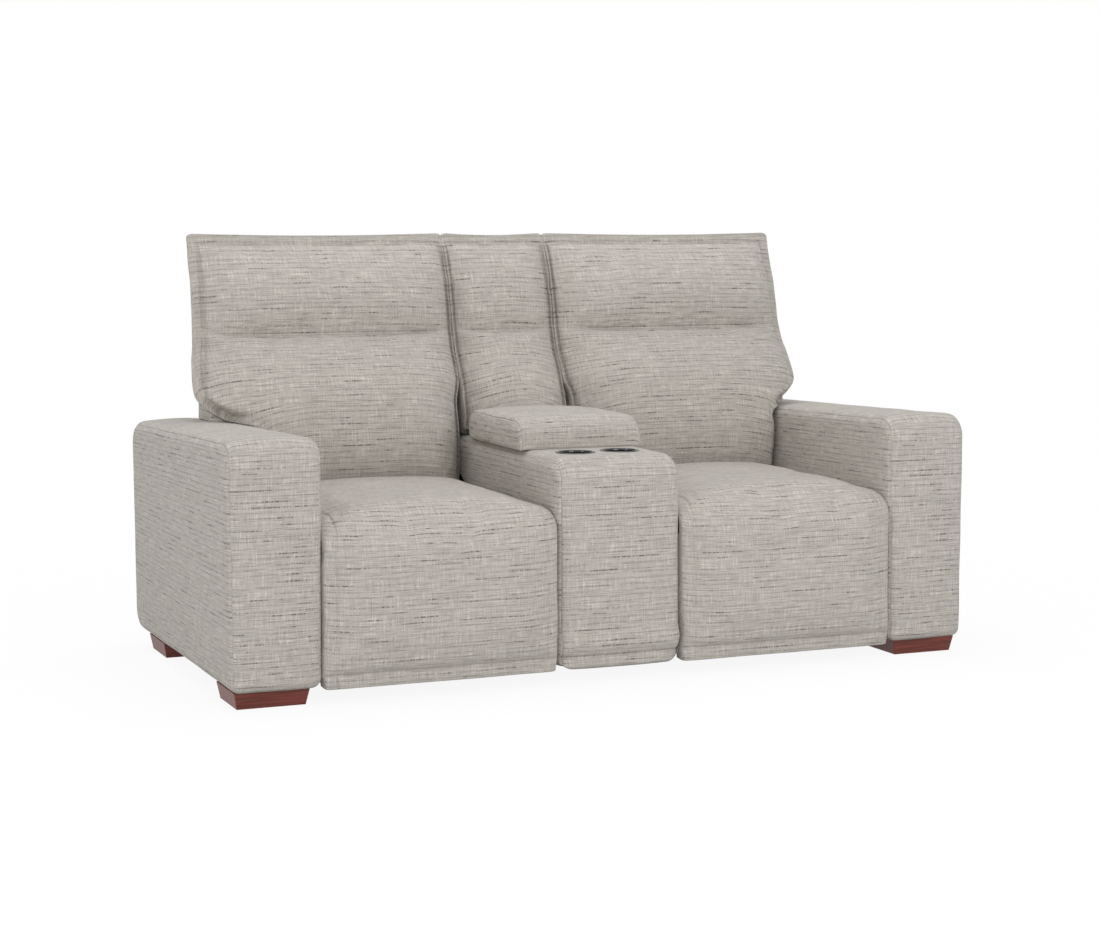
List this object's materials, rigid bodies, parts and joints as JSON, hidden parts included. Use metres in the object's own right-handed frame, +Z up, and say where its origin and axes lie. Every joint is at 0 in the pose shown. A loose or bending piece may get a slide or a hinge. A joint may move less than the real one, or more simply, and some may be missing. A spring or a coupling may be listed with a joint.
{
  "type": "reclining sofa with centre console",
  "caption": "Reclining sofa: padded seats with swing-up footrests and reclining backs on tracks, a fixed console between them with a lift-up padded lid over a storage bin, and cup holders.",
  "frame": {"origin": "on the floor, midway between the outer faces of the arms and between the front of the footrests and the rear of the arms", "axes": "+X to the right seen from the front, +Y to the back, +Z up"},
  "size_m": [2, 1.008, 1.104],
  "materials": {
    "sofa_fabric": "greige linen-look tweed with darker slubs",
    "back_fabric": "the same tweed, flat panels",
    "mahogany": "dark red-brown satin lacquer",
    "gloss_black": "polished black",
    "black_plastic": "fine grained black",
    "timber": "sawn pale hardwood and plywood",
    "webbing": "woven elastic webbing",
    "nylon": "off-white moulded nylon",
    "plated_steel": "zinc plated",
    "black_steel": "black powder coat"
  },
  "bodies": {
    "root": {"left_arm": "sofa_fabric", "right_arm": "sofa_fabric", "block_feet": "mahogany", "console_shell": "sofa_fabric", "storage_bin": "black_plastic", "left_cup_holder": "gloss_black", "right_cup_holder": "gloss_black", "lid_brackets": "plated_steel", "centre_back_cushion": "sofa_fabric", "centre_back_shell": "back_fabric", "support_glides": "black_plastic", "rear_stretcher": "timber", "left_base_rails": "black_steel", "right_base_rails": "black_steel", "left_tracks": "plated_steel", "right_tracks": "plated_steel"},
    "lid": {"lid_board": "timber", "lid_pad": "sofa_fabric", "lid_pivot_arms": "plated_steel"},
    "left_seat": {"left_side_plates": "black_steel", "left_rollers": "nylon", "left_seat_frame": "timber", "left_seat_webbing": "webbing", "left_seat_cushion": "sofa_fabric", "left_knee_hinges": "plated_steel"},
    "left_back": {"left_back_frame": "black_steel", "left_back_webbing": "webbing", "left_back_cushion": "sofa_fabric", "left_back_shell": "back_fabric", "left_back_brackets": "black_steel"},
    "left_footrest": {"left_footrest_board": "timber", "left_footrest_pad": "sofa_fabric", "left_footrest_brackets": "black_steel"},
    "left_crank": {"left_cranks": "plated_steel"},
    "left_push_bar": {"left_push_bars": "plated_steel"},
    "right_seat": {"right_side_plates": "black_steel", "right_rollers": "nylon", "right_seat_frame": "timber", "right_seat_webbing": "webbing", "right_seat_cushion": "sofa_fabric", "right_knee_hinges": "plated_steel"},
    "right_back": {"right_back_frame": "black_steel", "right_back_webbing": "webbing", "right_back_cushion": "sofa_fabric", "right_back_shell": "back_fabric", "right_back_brackets": "black_steel"},
    "right_footrest": {"right_footrest_board": "timber", "right_footrest_pad": "sofa_fabric", "right_footrest_brackets": "black_steel"},
    "right_crank": {"right_cranks": "plated_steel"},
    "right_push_bar": {"right_push_bars": "plated_steel"}
  },
  "joints": [
    {"name": "lid_hinge", "type": "hinge", "parent": "root", "child": "lid", "pos_m": [0, 0.104, 0.5953], "axis": [-1, 0, 0], "range_deg": [0, 78]},
    {"name": "left_seat_slide", "type": "slide", "parent": "root", "child": "left_seat", "axis": [0, -0.9659, 0.2588], "range_m": [0, 0.08]},
    {"name": "left_recline", "type": "hinge", "parent": "left_seat", "child": "left_back", "pos_m": [-0.468, 0.324, 0.42], "axis": [-1, 0, 0], "range_deg": [0, 25]},
    {"name": "left_footrest_swing", "type": "hinge", "parent": "left_seat", "child": "left_footrest", "pos_m": [-0.468, -0.472, 0.38], "axis": [-1, 0, 0], "range_deg": [0, 85]},
    {"name": "left_crank_turn", "type": "hinge", "parent": "left_seat", "child": "left_crank", "pos_m": [-0.468, -0.222, 0.29], "axis": [-1, 0, 0], "range_deg": [0, 85]},
    {"name": "left_push_bar_turn", "type": "hinge", "parent": "left_crank", "child": "left_push_bar", "pos_m": [-0.468, -0.174, 0.11], "axis": [-1, 0, 0], "range_deg": [-85, 0]},
    {"name": "right_seat_slide", "type": "slide", "parent": "root", "child": "right_seat", "axis": [0, -0.9659, 0.2588], "range_m": [0, 0.08]},
    {"name": "right_recline", "type": "hinge", "parent": "right_seat", "child": "right_back", "pos_m": [0.468, 0.324, 0.42], "axis": [-1, 0, 0], "range_deg": [0, 25]},
    {"name": "right_footrest_swing", "type": "hinge", "parent": "right_seat", "child": "right_footrest", "pos_m": [0.468, -0.472, 0.38], "axis": [-1, 0, 0], "range_deg": [0, 85]},
    {"name": "right_crank_turn", "type": "hinge", "parent": "right_seat", "child": "right_crank", "pos_m": [0.468, -0.222, 0.29], "axis": [-1, 0, 0], "range_deg": [0, 85]},
    {"name": "right_push_bar_turn", "type": "hinge", "parent": "right_crank", "child": "right_push_bar", "pos_m": [0.468, -0.174, 0.11], "axis": [-1, 0, 0], "range_deg": [-85, 0]}
  ],
  "couplings": [
    {"joint": "left_seat_slide", "follows": "left_recline", "m_per_rad": 0.1833},
    {"joint": "left_crank_turn", "follows": "left_footrest_swing", "ratio": 1},
    {"joint": "left_push_bar_turn", "follows": "left_footrest_swing", "ratio": -1},
    {"joint": "right_seat_slide", "follows": "right_recline", "m_per_rad": 0.1833},
    {"joint": "right_crank_turn", "follows": "right_footrest_swing", "ratio": 1},
    {"joint": "right_push_bar_turn", "follows": "right_footrest_swing", "ratio": -1}
  ]
}
